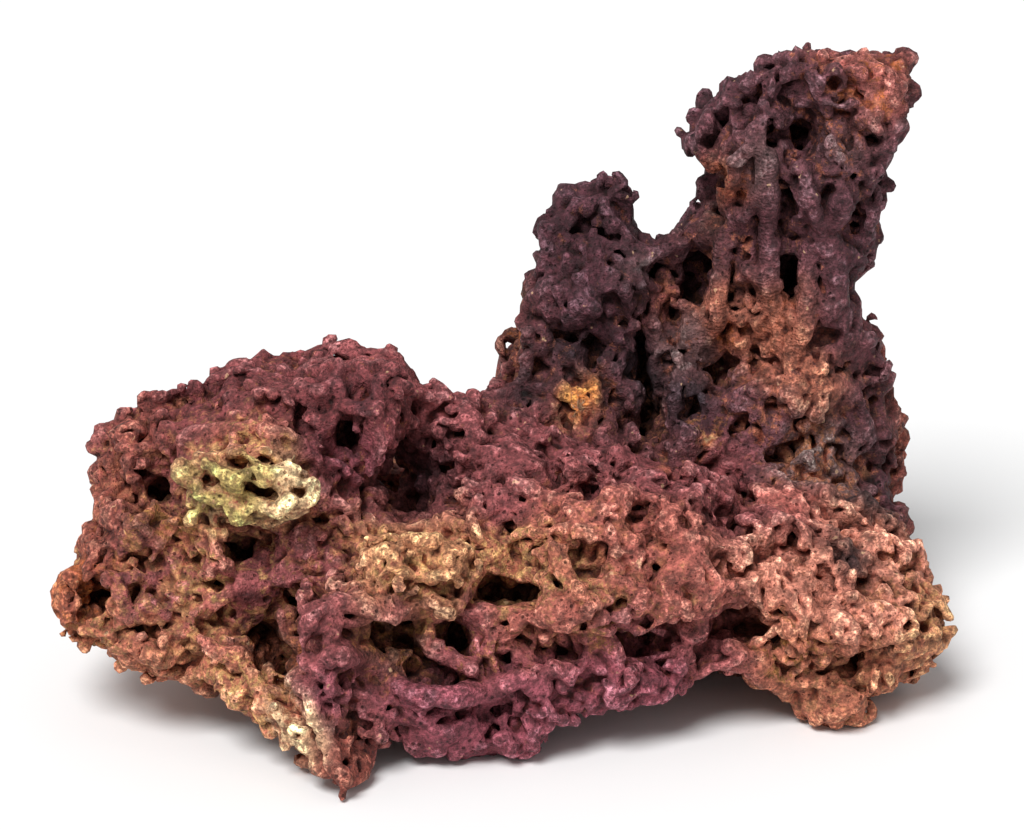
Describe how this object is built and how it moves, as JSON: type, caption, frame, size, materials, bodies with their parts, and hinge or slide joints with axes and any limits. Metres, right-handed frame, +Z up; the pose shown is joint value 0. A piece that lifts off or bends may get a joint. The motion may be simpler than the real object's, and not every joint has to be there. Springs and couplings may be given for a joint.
{
  "type": "reef rock",
  "caption": "Porous reef rock in one piece: a low cavernous front ridge with a domed end and a tall twin-peaked tower behind, standing on flat spots of its feet.",
  "frame": {"origin": "middle of the rock's box, at the level of the surface it stands on", "axes": "+X along the ridge to the right, +Y to the back, where the tower is, +Z up"},
  "size_m": [0.36, 0.237, 0.2544],
  "materials": {
    "reef_rock": "rough, porous, matt coralline crust"
  },
  "bodies": {
    "root": {"reef_rock": "reef_rock"}
  },
  "joints": []
}
